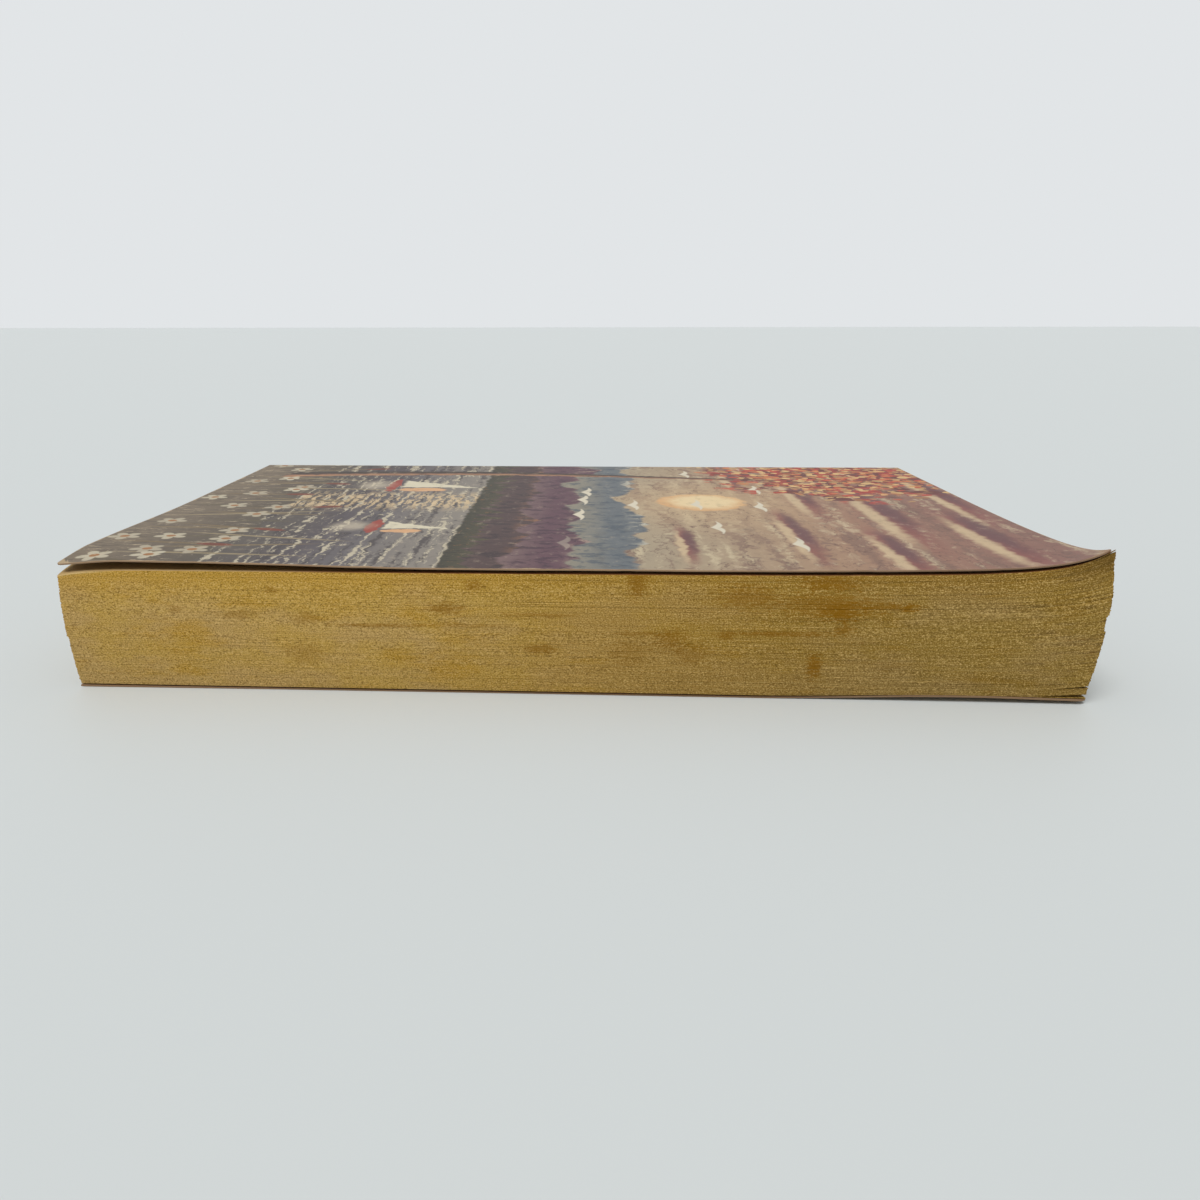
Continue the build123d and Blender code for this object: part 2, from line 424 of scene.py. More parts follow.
# Slits, drawn in from the head corner
corner_run = head_x - x + from_fore
drawn_in = np.clip(slit - corner_run, 0, None) / 2
x, y, from_fore = x - drawn_in, y + drawn_in, from_fore + drawn_in
corner_run = corner_run + 2 * drawn_in
tail_run = x - tail_x + from_fore
flap_share = layer_tops[resting_layers + flap_layers - 1]
on_flap = layer >= resting_layers
above_flap = layer >= resting_layers + flap_layers
clinging = layer >= layer_count - clinging_layers
slot_lift = slot_opening * np.clip(1 - corner_run / slot_reach, 0, 1)
slit_lift = slit_opening * np.clip(1 - corner_run / slit_reach, 0, 1)
cling_gap = cling_opening * np.clip(1 - corner_run / cling_reach, 0, 1) ** 1.5

# Lift of the lowest leaves with the back cover, over a small gap that the lift closes. It fades in the
# block above the flap.
fade_share = 0.1
foot_gap_height, foot_gap_closing, foot_gap_reach = 0.25 * mm, 0.285, 12 * mm
lifted = back_lift(x, from_fore)
foot_gap = (foot_gap_height - foot_gap_closing * lifted) * np.exp(-from_fore / foot_gap_reach)
lift = lifted + foot_gap + np.where(on_flap, slot_lift, 0.0) + np.where(above_flap, slit_lift, 0.0)
lift = lift * np.where(above_flap, np.exp(-(share - flap_share) / fade_share), 1.0)

# Curl of the first leaves with the front cover, the gap that they leave below it, and their droop at the tail
cling_share, tip_share = 0.3, 1.15
sink_depth, sink_reach, sink_start = 0.25 * mm, 20 * mm, 5 * mm
droop_depth, droop_reach = 0.95 * mm, 4 * mm
lift = lift + np.where(clinging, cling_share * cling_gap, -cling_share * share**6 * cling_gap)
lift = lift + tip_curl(x, y) * np.where(clinging, tip_share, tip_share * share**6)
off_corner = 1 - np.exp(-corner_run / sink_start)
lift = lift - sink_depth * share**8 * np.exp(-from_fore / sink_reach) * off_corner
droop = droop_depth * np.exp(-tail_run / droop_reach) * share**4
z = foot_z + (stack_z - foot_z) * share + curl(x, y) * share - droop + lift

y = y + edge_line(share) + fore_skew(x, share) * (1 - from_fore / leaf_width) + fore_roughness
x = x + end_shift
move_points(leaf_stack, np.column_stack((x, y, z)))
level = leaf_stack.data.attributes.new("level", "FLOAT", "POINT")
level.data.foreach_set("value", share.astype(np.float32))

leaf_stack.data.materials.append(leaf_edge_paper())
leaf_stack.data.materials.append(page_paper())
for face in leaf_stack.data.polygons:
    loops = {loop[corner] for corner in face.vertices}
    if loops == {0} or loops == {loop_count - 1}:
        face.material_index = 1
        face.use_smooth = True
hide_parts("page_block")
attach(leaf_stack, "bound_block")

# Spine glue
# The film of yellowed hot glue that holds the leaves. It shows only as a thin line at head and tail,
# between the leaves and the card, so the solid keeps its shape and gets a waxy finish.
glue_material, glue_tree, glue_shader = new_material("yellowed_glue")
glue_place = node(glue_tree, "TexCoord").outputs["Object"]
glue_blobs = noise(glue_tree, glue_place, (2.5 * mm, 2.5 * mm, 0.7 * mm))
glue_tone = mixed(glue_tree, glue_blobs, sheet_colour(222, 202, 150), sheet_colour(182, 148, 86))
finish_surface(glue_tree, glue_shader, glue_tone, 0.45, 0.5)
raise_texture(glue_tree, glue_shader, glue_blobs, 0.4, 0.2 * mm)
glue_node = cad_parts["spine_glue"]
glue_node.data.materials.clear()
glue_node.data.materials.append(glue_material)

# Front cover
# The front third of one sheet of printed, varnished card. It is held only at the spine, where it bends
# over the crease, and it has taken the curl of the thumbed corner. Its rim is rubbed through to the card.
card = 0.28 * mm
rim_softening = 0.05 * mm
bend = 0.45 * mm
bend_length = bend * math.pi / 2
bend_share = 0.8
sheet_unit = 100 * mm
front_crease_y = front_high.y
front_flat = front_crease_y - bend - fore_y
front_length = front_flat + bend_length
front_rounds = (1.0 * mm, 2.2 * mm)
crease_gap, fore_gap = 0.05 * mm, 0.27 * mm
stand_off_height, stand_off_reach, stand_off_slant = 0.85 * mm, 45 * mm, 1.2
bent_tip_depth, bent_tip_reach = 0.75 * mm, 10 * mm
flutter_depth = 0.02 * mm
# Dents along the fore edge of the cover: x, depth and half length, in mm
fore_dents = ((-61, 0.12, 1.2), (-33, 0.2, 1.0), (9, 0.16, 0.8), (46, 0.22, 1.4), (67, 0.15, 0.7))
fore_ripple, dent_reach = 0.03 * mm, 1.0 * mm


def cover_top(x, y):
    """The upper face of the front cover, with the stand-off and the small bent tip at the tail corner."""
    run = x - tail_x + stand_off_slant * (y - fore_y)
    gap = crease_gap + fore_gap * (front_crease_y - y) / (front_crease_y - fore_y)
    stand_off = stand_off_height * np.exp(-((run / stand_off_reach) ** 3))
    tip = bent_tip_depth * np.clip(1 - (x - tail_x + y - fore_y) / bent_tip_reach, 0, 1) ** 1.3
    waves = np.sin(x / (13 * mm) + 1) + np.sin(x / (7.7 * mm) + y / (11 * mm)) + np.sin(y / (9 * mm))
    flutter = flutter_depth * waves * np.clip((front_crease_y - y) / (20 * mm), 0, 1)
    return stack_z + gap + curl(x, y) + tip_curl(x, y) + stand_off - tip + flutter + card


def card_grid(name, long_cuts, wide_cuts):
    """A flat square of card, cut into strips both ways."""
    bpy.ops.object.select_all(action="DESELECT")
    bpy.ops.mesh.primitive_grid_add(x_subdivisions=long_cuts, y_subdivisions=wide_cuts, size=2)
    made = bpy.context.object
    made.name = name
    return made


def cover_places(grid):
    """Places on a flat cover, closest at its ends, fore edge and bend: x, and distance from the fore edge."""
    x = spread_along(grid[:, 0], 0.45)
    rows = (-1, -0.85, -0.5, 0.9 * bend_share, bend_share, 1)
    insets = (0, 1.8 * mm, 20 * mm, front_flat - 1.2 * mm, front_flat, front_length)
    return x, np.interp(grid[:, 1], rows, insets)


def round_corners(x, inset, rounds):
    """Wears the fore corners round, at tail and head: new x, and new distance from the fore edge."""
    for end, radius in zip((-1, 1), rounds):
        beyond = np.clip((end * x - (head_x - radius)) / radius, 0, 1)
        within = np.clip((radius - inset) / radius, 0, 1)
        corner = (beyond > 0) & (within > 0)
        x = np.where(corner, end * (head_x - radius + radius * beyond * np.sqrt(1 - within**2 / 2)), x)
        inset = np.where(corner, radius - radius * within * np.sqrt(1 - beyond**2 / 2), inset)
    return x, inset


def lay_print(piece, x, sheet_y):
    """Writes the place of each vertex on the flat printed sheet as the piece's map."""
    chart = piece.data.uv_layers[0]
    chart.name = "print"
    corners = np.empty(len(piece.data.loops), dtype=int)
    piece.data.loops.foreach_get("vertex_index", corners)
    places = np.column_stack(((x - tail_x) / sheet_unit, sheet_y / sheet_unit))
    chart.data.foreach_set("uv", places[corners].astype(np.float32).ravel())


def make_card(piece):
    """Prints the sheet, gives it its thickness on the bare side, and softens its cut edges."""
    piece.data.materials.append(print_material)
    piece.data.materials.append(card_material)
    solid = piece.modifiers.new("card", "SOLIDIFY")
    solid.thickness = card
    solid.offset = -1
    solid.material_offset = 1
    solid.material_offset_rim = 1
    soften = piece.modifiers.new("rim", "BEVEL")
    soften.width = rim_softening
    soften.limit_method = "ANGLE"
    soften.angle_limit = math.radians(60)
    for modifier in ("card", "rim"):
        bpy.ops.object.modifier_apply(modifier=modifier)
    bpy.ops.object.shade_smooth_by_angle(angle=math.radians(40))


# The picture is laid out in mm, p up from the tail and q across from the fore edge.
# Creases in the print at the tail corner: p and q of the middle, half length, and turn in degrees
corner_creases = ((4.1, 4.4, 2.0, -40), (5.8, 5.2, 2.05, -83), (1.6, 1.0, 0.9, -60))
# Long clouds over the sunset: p and q of the middle, half height and half length
clouds = (
    (104, 18, 1.6, 13), (121, 88, 2.2, 17), (125, 26, 2.4, 21), (133, 66, 2.8, 24), (139, 12, 2.6, 17),
    (146, 46, 3.6, 30), (153, 96, 3.0, 18), (158, 22, 3.4, 24), (164, 66, 2.8, 30),
)
sun_p, sun_q = 111, 57
# Two sailing boats on the lake: p and q of the sail's foot, height and breadth
boats = ((42, 73, 20, 10), (47, 29, 14, 7))
daisy_spacing = 8
bird_spacing = 13
reed_count, reed_spacing = 26, 4.1
# Hills, the far ones first: height, swing and size of the skyline, its seed, and the colours of the lit
# slope, the foot in the mist, the shade and the snow
hills = (
    (96, 11, 24, 3.1, (100, 104, 106), (140, 132, 114), (72, 80, 88), (214, 204, 180)),
    (84, 10, 20, 8.7, (92, 64, 72), (120, 98, 94), (62, 40, 52), (172, 148, 132)),
    (74, 7, 15, 5.2, (76, 58, 56), (102, 84, 76), (52, 40, 42), (148, 106, 78)),
)
crown_middle, crown_halves = (146, 98, 0), (34, 42, 1)
# Layers of leaves in the tree's crown: size of a cell and radius of the leaf in it, shift of the pattern,
# and the chance at which the lightest colour is reached
leaf_layers = ((5.4, 0.62, 0.0, 2.3), (3.6, 0.44, 7.3, 0.9), (2.7, 0.38, 2.9, 0.9), (3.1, 0.34, 11.7, 0.9))
leaf_colours = ((96, 50, 44), (160, 60, 50), (182, 84, 56), (196, 132, 80), (138, 92, 60), (206, 170, 116))
reed_colours = ((92, 82, 62), (148, 132, 102), (126, 108, 78), (116, 98, 70))
sky_colours = ((160, 146, 122), (160, 138, 112), (156, 126, 100), (146, 110, 90), (130, 94, 82))


def cover_print():
    """Printed and varnished card: a painted lake at dusk, rubbed pale along the rim and the creases."""
    material, tree, shader = new_material("cover_print")
    chart = node(tree, "UVMap", uv_map="print").outputs[0]
    flat = node(tree, "VectorMath", {0: chart, "Scale": sheet_unit / mm}, operation="SCALE").outputs[0]
    places = node(tree, "SeparateXYZ", {0: flat}).outputs
    length = (head_x - tail_x) / mm
    spine_at = front_length / mm
    back_at = spine_at + (stack_z - foot_z) / mm
    far_at = back_at + spine_at

    # Brush work: the painter's places wander a little from the true ones
    wander = node(tree, "TexNoise", {"Vector": flat, "Scale": 0.35, "Detail": 3.0}).outputs["Color"]
    wander = node(tree, "VectorMath", {0: wander, 1: (0.5, 0.5, 0.5)}, operation="SUBTRACT").outputs[0]
    wander = node(tree, "VectorMath", {0: wander, "Scale": 2.4}, operation="SCALE").outputs[0]
    painted = node(tree, "VectorMath", {0: flat, 1: wander}, operation="ADD").outputs[0]
    axes = node(tree, "SeparateXYZ", {0: painted}).outputs
    up, across = axes["X"], axes["Y"]

    def graded(value, low, high, colours):
        """Colours spread evenly over a range of a value."""
        ramp = node(tree, "ValToRGB", {"Fac": ramped(tree, value, low, high)})
        while len(ramp.color_ramp.elements) < len(colours):
            ramp.color_ramp.elements.new(0.5)
        for step, (element, colour) in enumerate(zip(ramp.color_ramp.elements, colours)):
            element.position = step / (len(colours) - 1)
            element.color = sheet_colour(*colour)
        return ramp.outputs["Color"]

    def below(base, swing, size, seed, soft=0.5):
        """Mask of everything below a rugged skyline that runs across the picture."""
        along = worked(tree, "ADD", worked(tree, "DIVIDE", across, size), seed)
        inputs = {"W": along, "Scale": 1.0, "Detail": 6.0, "Roughness": 0.5}
        rugged = node(tree, "TexNoise", inputs, noise_dimensions="1D").outputs["Fac"]
        line = worked(tree, "MULTIPLY_ADD", rugged, 2 * swing, base - swing)
        return ramped(tree, worked(tree, "SUBTRACT", up, line), soft, -soft)

    def oval(tone, p, q, half_p, half_q, turn, softness, colour, strength=1.0, place=painted):
        """Lays a soft ellipse over the picture so far."""
        reach = oval_reach(tree, place, (p, q, 0), (half_p, half_q, 1), turn)
        mask = ramped(tree, reach, 1 + softness, 1 - softness, 0.0, strength)
        return mixed(tree, mask, tone, sheet_colour(*colour))

    def strokes(tone, size_p, size_q, low, high, colour, strength, inside=None):
        """Lays brush strokes over the picture, all over or inside a mask."""
        mask = ramped(tree, noise(tree, painted, (size_p, size_q, 1.0), 4.0, 0.6), low, high, 0.0, strength)
        if inside is not None:
            mask = worked(tree, "MULTIPLY", mask, inside)
        return mixed(tree, mask, tone, sheet_colour(*colour))

    def scattered(place, size_p, size_q, scatter, shift=0.0):
        """Cells of a random pattern: a place in it, its cells, and three chances for each cell."""
        inputs = {"Vector": place, "Location": (shift, shift, 0), "Scale": (1 / size_p, 1 / size_q, 1)}
        laid = node(tree, "Mapping", inputs).outputs[0]
        inputs = {"Vector": laid, "Scale": 1.0, "Randomness": scatter}
        cells = node(tree, "TexVoronoi", inputs, voronoi_dimensions="2D").outputs
        chance = node(tree, "SeparateXYZ", {0: cells["Color"]}).outputs
        return laid, cells, chance

    def from_middle(laid, cells):
        """How far a place lies from the middle of its cell, up and across."""
        offset = node(tree, "VectorMath", {0: laid, 1: cells["Position"]}, operation="SUBTRACT").outputs[0]
        return node(tree, "SeparateXYZ", {0: offset}).outputs

    # Sky, sun and clouds
    tone = graded(up, 84, 168, sky_colours)
    tone = strokes(tone, 5, 34, 0.5, 0.58, (116, 88, 76), 0.65)
    tone = strokes(tone, 3, 24, 0.52, 0.7, (204, 188, 154), 0.6)
    tone = oval(tone, sun_p, sun_q, 18, 22, 0, 0.9, (188, 160, 124), 0.7)
    outlines = worked(tree, "SUBTRACT", noise(tree, painted, (9, 22, 1.0), 3.0, 0.5), 0.5)
    outlines = ramped(tree, worked(tree, "ABSOLUTE", outlines), 0.012, 0.004, 0.0, 0.6)
    tone = mixed(tree, outlines, tone, sheet_colour(96, 68, 58))
    for p, q, half_p, half_q in clouds:
        dark_p, dark_q = p + 0.5 * half_p, q + 0.2 * half_q
        lit_p, lit_q = p - 0.6 * half_p, q - 0.1 * half_q
        tone = oval(tone, p, q, half_p, half_q, 0, 0.5, (128, 74, 68), 0.85)
        tone = oval(tone, dark_p, dark_q, 0.6 * half_p, 0.7 * half_q, 0, 0.5, (92, 64, 66), 0.75)
        tone = oval(tone, lit_p, lit_q, 0.45 * half_p, 0.8 * half_q, 0, 0.5, (204, 182, 144), 0.75)
    tone = oval(tone, sun_p, sun_q, 9.5, 9.5, 0, 0.06, (204, 160, 112))
    tone = oval(tone, sun_p + 0.5, sun_q + 0.5, 7.5, 7.5, 0, 0.3, (220, 196, 152))

    # Far and near hills, with lit slopes and mist at their feet
    for base, swing, size, seed, lit, foot, shade, snow in hills:
        mask = below(base, swing, size, seed)
        slope = graded(up, base - 16, base + 6, (foot, lit, lit))
        slope = strokes(slope, 4.5, 2.2, 0.48, 0.62, shade, 0.8)
        slope = strokes(slope, 3.0, 1.6, 0.6, 0.7, foot, 0.6)
        slope = strokes(slope, 5.0, 2.4, 0.5, 0.56, snow, 0.85, ramped(tree, up, base - 3, base + 4))
        tone = mixed(tree, mask, tone, slope)

    # White birds over the hills: some cells of a random pattern hold a pair of raised wings
    laid, cells, chance = scattered(flat, bird_spacing, bird_spacing, 0.6)
    wings = from_middle(laid, cells)
    reach = worked(tree, "ABSOLUTE", wings["Y"])
    bent = worked(tree, "SUBTRACT", 0.6, worked(tree, "MULTIPLY", reach, 1.1))
    raised = worked(tree, "SUBTRACT", wings["X"], worked(tree, "MULTIPLY", reach, bent))
    breadth = ramped(tree, reach, 0.0, 0.42, 0.07, 0.01)
    wings = ramped(tree, worked(tree, "SUBTRACT", worked(tree, "ABSOLUTE", raised), breadth), 0.015, -0.015)
    wings = worked(tree, "MULTIPLY", wings, ramped(tree, reach, 0.44, 0.4))
    lowest, highest = ramped(tree, places["X"], 78, 80), ramped(tree, places["X"], 132, 130)
    in_flight = worked(tree, "MULTIPLY", lowest, highest)
    in_flight = worked(tree, "MULTIPLY", in_flight, ramped(tree, chance["X"], 0.5, 0.52))
    tone = mixed(tree, worked(tree, "MULTIPLY", wings, in_flight), tone, sheet_colour(208, 198, 176))

    # Trees along the far shore
    shore = graded(up, 60, 74, ((58, 54, 42), (76, 70, 52), (104, 92, 64)))
    shore = strokes(shore, 2.2, 0.9, 0.5, 0.66, (44, 40, 34), 0.8)
    shore = strokes(shore, 1.6, 1.2, 0.6, 0.7, (150, 104, 62), 0.7)
    tone = mixed(tree, below(66.5, 6, 3.2, 1.4, 0.4), tone, shore)

    # Lake, with the light of the sun on it, and the boats
    on_lake = below(62, 0.8, 30, 2.2, 0.4)
    water = graded(up, 20, 62, ((86, 78, 70), (80, 72, 74), (100, 94, 94), (132, 124, 114)))
    water = strokes(water, 1.8, 30, 0.5, 0.62, (64, 56, 56), 0.85)
    water = strokes(water, 1.3, 22, 0.54, 0.63, (194, 182, 156), 0.85)
    path = ramped(tree, worked(tree, "ABSOLUTE", worked(tree, "SUBTRACT", across, sun_q)), 13, 3)
    water = strokes(water, 1.0, 9, 0.46, 0.56, (206, 180, 140), 0.85, path)
    tone = mixed(tree, on_lake, tone, water)
    for p, q, height, breadth in boats:
        inputs = {"Vector": painted, "Location": (p, q, 0), "Scale": (height, breadth, 1)}
        sail = node(tree, "Mapping", inputs, vector_type="TEXTURE").outputs[0]
        sides = node(tree, "SeparateXYZ", {0: sail}).outputs
        slant = worked(tree, "SUBTRACT", 1.0, worked(tree, "ADD", sides["X"], sides["Y"]))
        inner = worked(tree, "MINIMUM", worked(tree, "MINIMUM", sides["X"], sides["Y"]), slant)
        tone = mixed(tree, ramped(tree, inner, 0.0, 0.05), tone, sheet_colour(208, 198, 172))
        jib_p, jib_q = p + 0.3 * height, q - 0.28 * breadth
        tone = oval(tone, jib_p, jib_q, 0.28 * height, 0.22 * breadth, 0, 0.1, (206, 160, 118))
        hull_q = q + 0.3 * breadth
        tone = oval(tone, p - 1.6, hull_q, 1.3, 0.85 * breadth, 0, 0.1, (146, 66, 54))
        tone = oval(tone, p - 6, hull_q, 3.4, 0.5 * breadth, 0, 0.7, (200, 186, 162), 0.6)

    # Near bank with grass and reeds
    bank = graded(up, 0, 28, ((116, 102, 84), (98, 86, 72), (80, 72, 60)))
    bank = strokes(bank, 9, 1.3, 0.5, 0.62, (84, 74, 62), 0.7)
    bank = strokes(bank, 8, 1.0, 0.58, 0.66, (184, 166, 138), 0.7)
    tone = mixed(tree, below(22, 5, 26, 6.6, 0.6), tone, bank)
    for step in range(reed_count):
        foot, tall, tilt = 3 + 5 * (step % 3), 15 + 5 * (step * 7 % 4), 4 * (step * 3 % 7 - 3)
        sway = tall * math.sin(math.radians(tilt))
        middle = 2 + reed_spacing * step + 0.5 * sway
        colour = reed_colours[step % 4]
        tone = oval(tone, foot + 0.5 * tall, middle, 0.5 * tall, 0.5, tilt, 0.3, colour, 0.9, flat)
        if step % 4 == 3:
            seeds_p, seeds_q = foot + 0.92 * tall, middle + 0.42 * sway
            tone = oval(tone, seeds_p, seeds_q, 3.2, 1.0, tilt, 0.2, (112, 58, 42), 1.0, flat)

    # Daisies among them: some cells of a random pattern hold a flower of five petals
    laid, cells, chance = scattered(flat, daisy_spacing, daisy_spacing, 0.7)
    petals = from_middle(laid, cells)
    around = worked(tree, "MULTIPLY_ADD", worked(tree, "ARCTAN2", petals["Y"], petals["X"]), 2.5, chance["Z"])
    petals = worked(tree, "MULTIPLY_ADD", worked(tree, "ABSOLUTE", worked(tree, "COSINE", around)), 0.2, 0.17)
    petals = ramped(tree, worked(tree, "SUBTRACT", cells["Distance"], petals), 0.03, -0.03)
    on_bank = ramped(tree, places["X"], 25, 23)
    in_bloom = worked(tree, "MULTIPLY", ramped(tree, chance["X"], 0.44, 0.46), on_bank)
    petals = worked(tree, "MULTIPLY", petals, in_bloom)
    petal_tone = mixed(tree, chance["Y"], sheet_colour(164, 152, 130), sheet_colour(190, 180, 156))
    tone = mixed(tree, petals, tone, petal_tone)
    heart = worked(tree, "MULTIPLY", ramped(tree, cells["Distance"], 0.12, 0.09), in_bloom)
    tone = mixed(tree, heart, tone, sheet_colour(150, 104, 62))

    # A tree on the bank, whose leaves fill the upper corner by the spine
    bowed = worked(tree, "MULTIPLY_ADD", worked(tree, "SINE", worked(tree, "MULTIPLY", up, 0.03)), 5.0, 89.0)
    from_trunk = worked(tree, "SUBTRACT", across, bowed)
    trunk_width = ramped(tree, up, 10, 150, 3.4, 1.2)
    on_trunk = worked(tree, "SUBTRACT", trunk_width, worked(tree, "ABSOLUTE", from_trunk))
    on_trunk = worked(tree, "MULTIPLY", ramped(tree, on_trunk, 0.0, 0.4), ramped(tree, up, 9, 11))
    shaded = ramped(tree, from_trunk, -2.5, 1.5)
    bark = mixed(tree, shaded, sheet_colour(168, 124, 92), sheet_colour(60, 48, 42))
    bark = strokes(bark, 6, 0.8, 0.52, 0.64, (44, 36, 32), 0.8)
    tone = mixed(tree, on_trunk, tone, bark)
    from_crown = oval_reach(tree, painted, crown_middle, crown_halves)
    for size, radius, shift, lightest in leaf_layers:
        laid, cells, chance = scattered(painted, size, 0.8 * size, 1.0, shift)
        thinned = worked(tree, "ADD", from_crown, worked(tree, "MULTIPLY", chance["Y"], 0.55))
        dab = ramped(tree, cells["Distance"], radius, radius - 0.06)
        dab = worked(tree, "MULTIPLY", dab, ramped(tree, thinned, 1.1, 0.95))
        tone = mixed(tree, dab, tone, graded(chance["X"], 0.1, lightest, leaf_colours))

    # Past the crease the sheet is one plain field for the spine, and a lighter one for the back
    on_spine = ramped(tree, places["Y"], spine_at - 0.7, spine_at - 0.5)
    tone = mixed(tree, on_spine, tone, sheet_colour(124, 82, 70))
    on_back = ramped(tree, places["Y"], back_at + 0.2, back_at + 0.4)
    tone = mixed(tree, on_back, tone, sheet_colour(176, 152, 120))

    # Paint and paper texture of the print
    dabs = noise(tree, flat, (2.5, 4.0, 1.0), 5.0, 0.7)
    tone = mixed(tree, ramped(tree, dabs, 0.5, 0.75, 0.0, 0.3), tone, sheet_colour(60, 50, 46))
    tone = mixed(tree, ramped(tree, dabs, 0.45, 0.25, 0.0, 0.25), tone, sheet_colour(220, 200, 170))
    grain = noise(tree, flat, (0.5, 0.5, 1.0), 3.0, 0.7)

    # Rubbed rim: how far in from the nearest edge or crease, made uneven, and more at the fore corners
    from_head = worked(tree, "SUBTRACT", length, places["X"])
    from_far = worked(tree, "SUBTRACT", far_at, places["Y"])
    inset = worked(tree, "MINIMUM", worked(tree, "MINIMUM", places["X"], from_head), places["Y"])
    inset = worked(tree, "MINIMUM", inset, from_far)
    for crease in (spine_at - 0.35, back_at + 0.35):
        gap = worked(tree, "ABSOLUTE", worked(tree, "SUBTRACT", places["Y"], crease))
        inset = worked(tree, "MINIMUM", inset, worked(tree, "ADD", gap, 0.15))
    patchy = ramped(tree, noise(tree, flat, (9.0, 9.0, 1.0), 5.0, 0.65), 0.45, 0.72, 0.0, 0.7)
    ragged = worked(tree, "MULTIPLY", grain, 0.35)
    rub = worked(tree, "SUBTRACT", inset, worked(tree, "ADD", patchy, ragged))
    for end, reach, most in ((0.0, 3.0, 2.2), (length, 5.0, 1.2)):
        corner = node(tree, "VectorMath", {0: flat, 1: (end, 0, 0)}, operation="DISTANCE").outputs["Value"]
        rub = worked(tree, "SUBTRACT", rub, ramped(tree, corner, reach, 0.0, 0.0, most))
    near_head = ramped(tree, places["X"], 90, 150)
    rubbed = mixed(tree, near_head, sheet_colour(186, 160, 122), sheet_colour(160, 128, 92))
    tone = mixed(tree, ramped(tree, rub, 0.1, -0.3, 0.0, 0.65), tone, rubbed)
    for p, q, half_length, turn in corner_creases:
        tone = oval(tone, p, q, half_length, 0.1, turn, 0.7, (190, 170, 138), 0.5, flat)
    scuffs = noise(tree, flat, (9.0, 5.0, 1.0), 7.0, 0.75)
    tone = mixed(tree, ramped(tree, scuffs, 0.66, 0.72, 0.0, 0.35), tone, sheet_colour(190, 172, 144))
    finish_surface(tree, shader, tone, 0.5, 0.14)
    raise_texture(tree, shader, grain, 0.15, 0.05 * mm)
    return material


def bare_card():
    """The unprinted side and the cut edges of the card: aged cream, and red-brown towards the edges."""
    material, tree, shader = new_material("bare_card")
    chart = node(tree, "UVMap", uv_map="print").outputs[0]
    places = node(tree, "SeparateXYZ", {0: chart}).outputs
    mottle = ramped(tree, noise(tree, chart, (0.3, 0.3, 1.0), 3.0, 0.5), 0.3, 0.8)
    tone = mixed(tree, mottle, sheet_colour(207, 189, 153), sheet_colour(199, 176, 138))
    fibres = noise(tree, chart, (0.006, 0.006, 1.0), 4.0, 0.7)
    tone = mixed(tree, ramped(tree, fibres, 0.5, 0.8, 0.0, 0.3), tone, sheet_colour(168, 142, 104))
    far_at = (2 * front_length + stack_z - foot_z) / sheet_unit
    from_back = worked(tree, "SUBTRACT", far_at, places["Y"])
    from_head = worked(tree, "SUBTRACT", (head_x - tail_x) / sheet_unit, places["X"])
    inset = worked(tree, "MINIMUM", places["X"], from_head)
    inset = worked(tree, "MINIMUM", inset, worked(tree, "MINIMUM", places["Y"], from_back))
    # Towards its edges the card turns red-brown, darker towards the head and towards the back
    near_head = ramped(tree, places["X"], 0.9, 1.5)
    edge_tone = mixed(tree, near_head, sheet_colour(138, 108, 82), sheet_colour(108, 76, 58))
    edge_tone = mixed(tree, ramped(tree, places["Y"], 0.3, 1.5), edge_tone, sheet_colour(116, 84, 60))
    tone = mixed(tree, ramped(tree, inset, 0.05, 0.0, 0.0, 0.85), tone, edge_tone)
    finish_surface(tree, shader, tone, 0.8, 0.3)
    return material


print_material, card_material = cover_print(), bare_card()
front_cover_sheet = card_grid("front_cover_sheet", 120, 72)
x, sheet_y = cover_places(points_of(front_cover_sheet))
x, sheet_y = round_corners(x, sheet_y, front_rounds)
dent = sum(depth * mm * np.exp(-(((x - at * mm) / (half * mm)) ** 2)) for at, depth, half in fore_dents)
dent = dent + fore_ripple * (np.sin(x / (4.1 * mm)) + np.sin(x / (2.3 * mm) + 2))
sheet_y = sheet_y + dent * np.exp(-sheet_y / dent_reach)
turn = np.clip((sheet_y - front_flat) / bend, 0, math.pi / 2)
y = fore_y + np.minimum(sheet_y, front_flat) + bend * np.sin(turn)
z = cover_top(x, np.minimum(y, front_crease_y - bend)) - bend * (1 - np.cos(turn))
move_points(front_cover_sheet, np.column_stack((x, y, z)))
lay_print(front_cover_sheet, x, sheet_y)
make_card(front_cover_sheet)
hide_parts("front_cover")
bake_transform(front_cover_sheet)

# Cover spine
# The middle of the same card sheet, glued over the spine edges of the leaves between the two creases.
# It follows their lean and bow.
cover_spine_sheet = card_grid("cover_spine_sheet", 60, 16)
grid = points_of(cover_spine_sheet)
x = head_x * grid[:, 0]
spine_top = cover_top(x, front_crease_y - bend) - bend
z = bend + (spine_top - bend) * (1 - grid[:, 1]) / 2
share = np.clip((z - foot_z) / (stack_z - foot_z), 0, 1)
y = front_crease_y + edge_line(share) - edge_line(1.0)
move_points(cover_spine_sheet, np.column_stack((x, y, z)))
lay_print(cover_spine_sheet, x, front_length + spine_top - z)
make_card(cover_spine_sheet)
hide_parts("cover_spine")
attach(cover_spine_sheet, "bound_block")

# Back cover
# The last third of the sheet, on which the book lies. It is set back from the front cover's fore edge by
# the lean of the block, and its fore edge stands off the table near the head.
back_rounds = (0.4 * mm, 1.2 * mm)
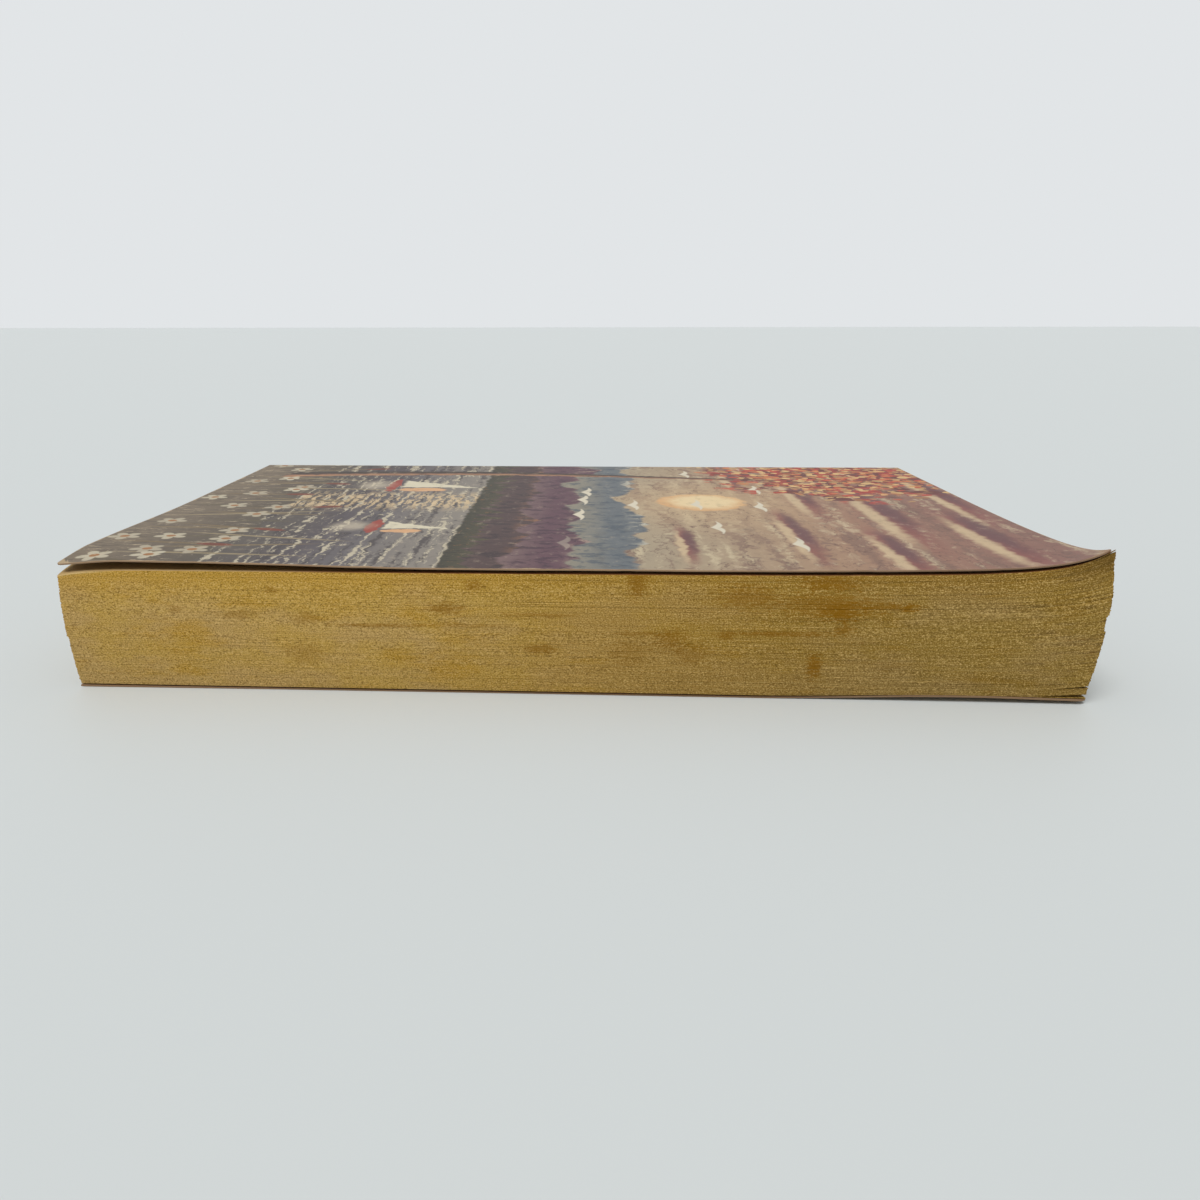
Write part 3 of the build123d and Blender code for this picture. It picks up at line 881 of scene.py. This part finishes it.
# How far its fore edge lies behind the lowest leaf's: places along the fore edge and lengths, in mm
back_insets = ((-84, -0.1), (-50, 0.15), (0, 0.25), (40, 0.15), (60, -0.15), (84, -0.25))
back_cover_sheet = card_grid("back_cover_sheet", 100, 60)
x, inset = cover_places(points_of(back_cover_sheet))
x, inset = round_corners(x, inset, back_rounds)
turn = np.clip((inset - front_flat) / bend, 0, math.pi / 2)
y = back_low.y + np.minimum(inset, front_flat) + bend * np.sin(turn)
set_back = np.interp(x / mm, *zip(*back_insets)) * mm
y = y + (fore_skew(x, 0.0) + set_back) * np.clip(1 - inset / front_flat, 0, 1)
z = bend * (1 - np.cos(turn)) + back_lift(x, inset)
move_points(back_cover_sheet, np.column_stack((x, y, z)))
lay_print(back_cover_sheet, x, 2 * front_length + stack_z - foot_z - inset)
bpy.ops.object.mode_set(mode="EDIT")
bpy.ops.mesh.select_all(action="SELECT")
bpy.ops.mesh.flip_normals()
bpy.ops.object.mode_set(mode="OBJECT")
make_card(back_cover_sheet)
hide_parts("back_cover")
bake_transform(back_cover_sheet)

# Table and light
# A plain pale table top that takes the book's soft shadow, one broad lamp overhead and a pale sky.
# The table lies a hair below the book, so that the two faces don't coincide.
table_drop = 0.02 * mm
sky_low, sky_high, sky_seen = 0.2, 0.56, 0.8
bpy.ops.object.select_all(action="DESELECT")
bpy.ops.mesh.primitive_plane_add(size=8)
table = bpy.context.object
table.name = "table"
move_points(table, points_of(table) - (0, 0, table_drop))
table_material, _, table_shader = new_material("pale_table")
table_shader.inputs["Base Color"].default_value = sheet_colour(203, 207, 206)
table_shader.inputs["Roughness"].default_value = 0.6
table.data.materials.append(table_material)

sky = bpy.data.worlds.new("pale_sky")
sky.use_nodes = True
sky_tree = sky.node_tree
sky_place = node(sky_tree, "TexCoord").outputs["Generated"]
sky_height = node(sky_tree, "SeparateXYZ", {0: sky_place}).outputs["Z"]
sky_level = ramped(sky_tree, sky_height, -0.1, 1.0, sky_low, sky_high)
ray = node(sky_tree, "LightPath").outputs
seen = worked(sky_tree, "MAXIMUM", ray["Is Camera Ray"], ray["Is Glossy Ray"])
seen = worked(sky_tree, "MAXIMUM", seen, ray["Is Transmission Ray"])
sky_level = node(sky_tree, "Mix", {0: seen, 2: sky_level, 3: sky_seen}).outputs[0]
sky_tree.nodes["Background"].inputs["Color"].default_value = (0.95, 0.98, 1.0, 1.0)
sky_tree.links.new(sky_level, sky_tree.nodes["Background"].inputs["Strength"])
bpy.context.scene.world = sky

bpy.ops.object.light_add(type="SUN", location=(-0.2, -0.45, 0.9))
lamp = bpy.context.object
lamp.name = "broad_lamp"
lamp.data.angle = math.radians(30)
lamp.data.energy = 2.2
lamp.rotation_euler = (-lamp.location).to_track_quat("-Z", "Y").to_euler()

# Camera
# Just above the table, in front of the fore edge and looking slightly down on the front cover.
# The focal length and the picture's middle are in pixels, and the turns in degrees.
picture_width = 1200
focal_length = 935.25
principal_x = 548.1
look_down, look_aside, roll = 17.083, 2.573, -0.112
bpy.ops.object.camera_add(location=(2.832 * mm, -197.6 * mm, 61.108 * mm))
camera = bpy.context.object
tilt = Euler((math.radians(90 - look_down), 0, math.radians(look_aside))).to_matrix()
camera.rotation_euler = (tilt @ Matrix.Rotation(math.radians(roll), 3, "Z")).to_euler()
camera.data.sensor_width = 36
camera.data.lens = camera.data.sensor_width * focal_length / picture_width
camera.data.shift_x = 0.5 - principal_x / picture_width
camera.data.clip_start = 0.005
bpy.context.scene.camera = camera
bpy.context.scene.view_settings.view_transform = "Standard"
